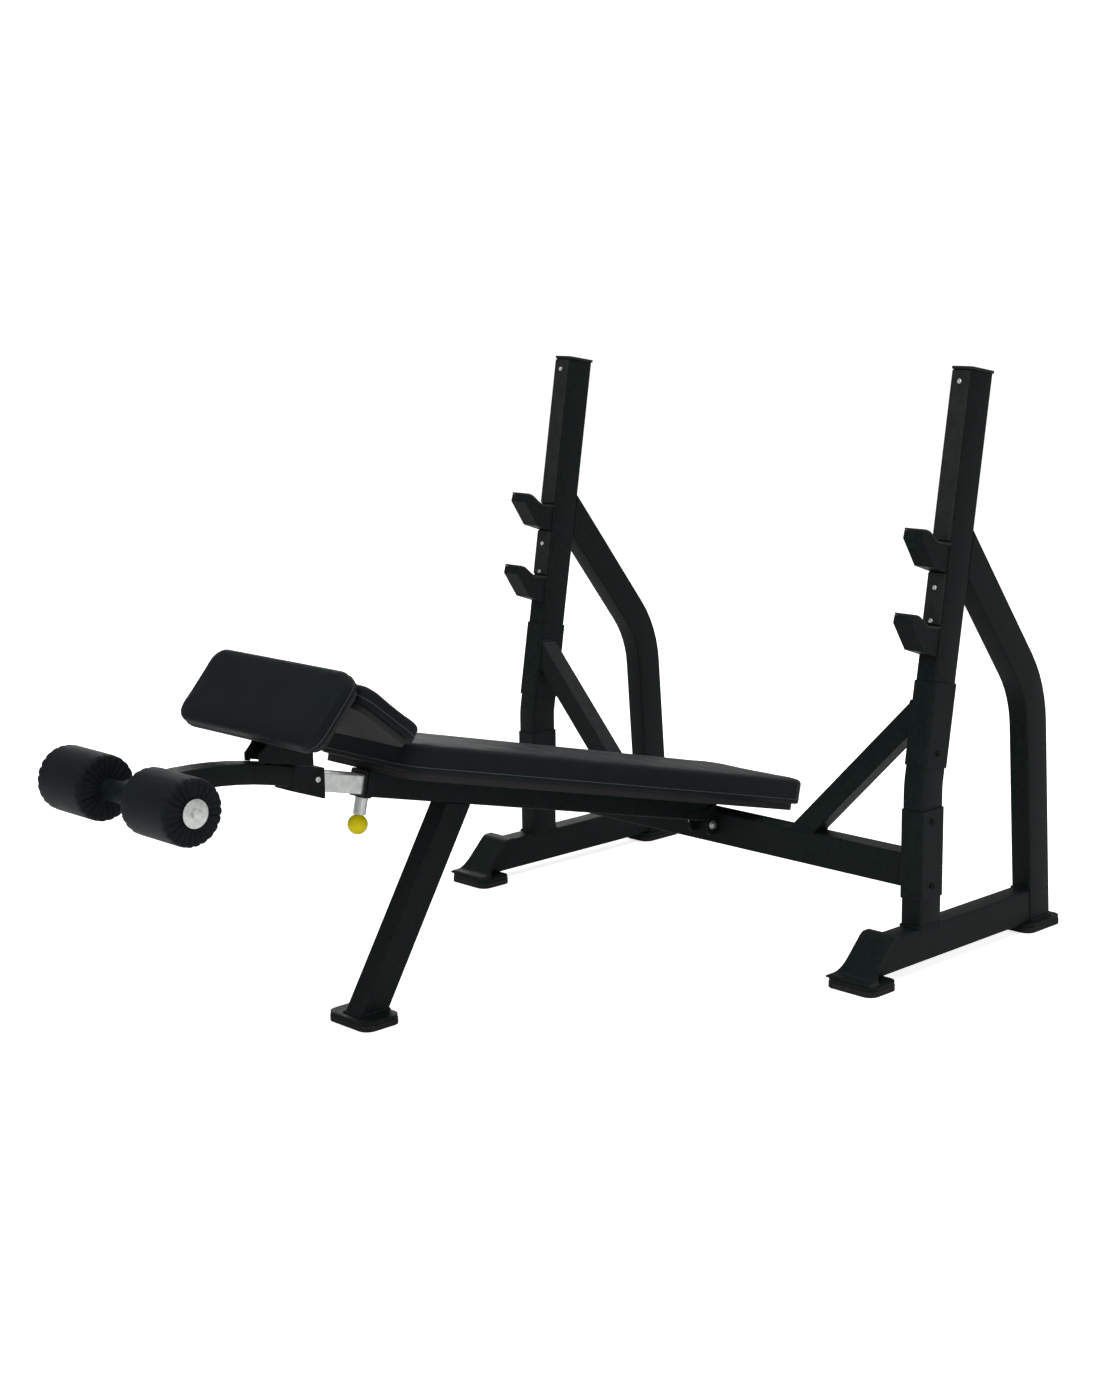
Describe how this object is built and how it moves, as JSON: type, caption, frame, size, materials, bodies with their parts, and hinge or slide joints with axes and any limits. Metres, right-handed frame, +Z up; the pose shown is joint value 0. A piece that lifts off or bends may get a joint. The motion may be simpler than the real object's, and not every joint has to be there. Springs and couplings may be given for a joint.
{
  "type": "decline bench with bar rack",
  "caption": "Declined padded bench with a sliding leg hold-down, knee pads and foam rollers, welded to a barbell rack with bar catches at two heights.",
  "frame": {"origin": "middle of the footprint, on the floor", "axes": "+X across, to the right of a user who faces the rollers' end from the rack; +Y along the bench from the rollers to the rack; +Z up"},
  "size_m": [1.316, 2.1232, 1.2746],
  "materials": {
    "powder_coat": "satin black powder coat",
    "vinyl": "black vinyl over foam, satin grain",
    "rubber": "matt black",
    "plastic": "matt black",
    "plywood": "plywood with a black backing",
    "zinc": "zinc plated",
    "yellow_ball": "glossy yellow"
  },
  "bodies": {
    "rack_and_bench": {"left_base_rail": "powder_coat", "right_base_rail": "powder_coat", "left_upright": "powder_coat", "right_upright": "powder_coat", "left_upright_cap": "plastic", "right_upright_cap": "plastic", "left_rear_brace": "powder_coat", "right_rear_brace": "powder_coat", "left_front_foot_bracket": "powder_coat", "right_front_foot_bracket": "powder_coat", "left_front_foot_plate": "powder_coat", "right_front_foot_plate": "powder_coat", "left_front_foot_pad": "rubber", "right_front_foot_pad": "rubber", "left_rear_foot_plate": "powder_coat", "right_rear_foot_plate": "powder_coat", "left_rear_foot_pad": "rubber", "right_rear_foot_pad": "rubber", "left_lower_sleeve": "powder_coat", "right_lower_sleeve": "powder_coat", "left_upper_sleeve": "powder_coat", "right_upper_sleeve": "powder_coat", "left_upper_bar_catch": "powder_coat", "right_upper_bar_catch": "powder_coat", "left_upper_catch_liner": "plastic", "right_upper_catch_liner": "plastic", "left_lower_bar_catch": "powder_coat", "right_lower_bar_catch": "powder_coat", "left_lower_catch_liner": "plastic", "right_lower_catch_liner": "plastic", "left_upper_guard_strip": "plastic", "right_upper_guard_strip": "plastic", "left_lower_guard_strip": "plastic", "right_lower_guard_strip": "plastic", "cross_beam": "powder_coat", "left_diagonal_brace": "powder_coat", "right_diagonal_brace": "powder_coat", "spine_tube": "powder_coat", "spine_bushing": "plastic", "spine_rear_bracket": "powder_coat", "front_leg": "powder_coat", "leg_foot_plate": "powder_coat", "leg_foot_pad": "rubber", "back_pad_board": "plywood", "back_pad_cushion": "vinyl", "pin_housing": "zinc"},
    "leg_hold_down": {"slide_tube": "zinc", "arm_bracket": "powder_coat", "roller_arm": "powder_coat", "roller_axle": "zinc", "knee_pad_frame": "powder_coat", "front_knee_board": "plywood", "rear_knee_board": "plywood", "front_knee_pad": "vinyl", "rear_knee_pad": "vinyl"},
    "left_roller": {"left_roller": "vinyl"},
    "right_roller": {"right_roller": "vinyl"},
    "pull_pin": {"pin_plunger": "zinc", "pin_knob": "yellow_ball"}
  },
  "joints": [
    {"name": "hold_down_slide", "type": "slide", "parent": "rack_and_bench", "child": "leg_hold_down", "axis": [0, -0.9732, 0.23], "range_m": [0, 0.15]},
    {"name": "left_roller_spin", "type": "hinge", "parent": "leg_hold_down", "child": "left_roller", "pos_m": [-0.138, -1.0001, 0.5638], "axis": [1, 0, 0], "continuous": true},
    {"name": "right_roller_spin", "type": "hinge", "parent": "leg_hold_down", "child": "right_roller", "pos_m": [0.138, -1.0001, 0.5638], "axis": [1, 0, 0], "continuous": true},
    {"name": "pop_pin_pull", "type": "slide", "parent": "rack_and_bench", "child": "pull_pin", "axis": [0, -0.23, -0.9732], "range_m": [0, 0.012], "stiffness_N_per_m": 800, "springref_m": -0.006}
  ]
}
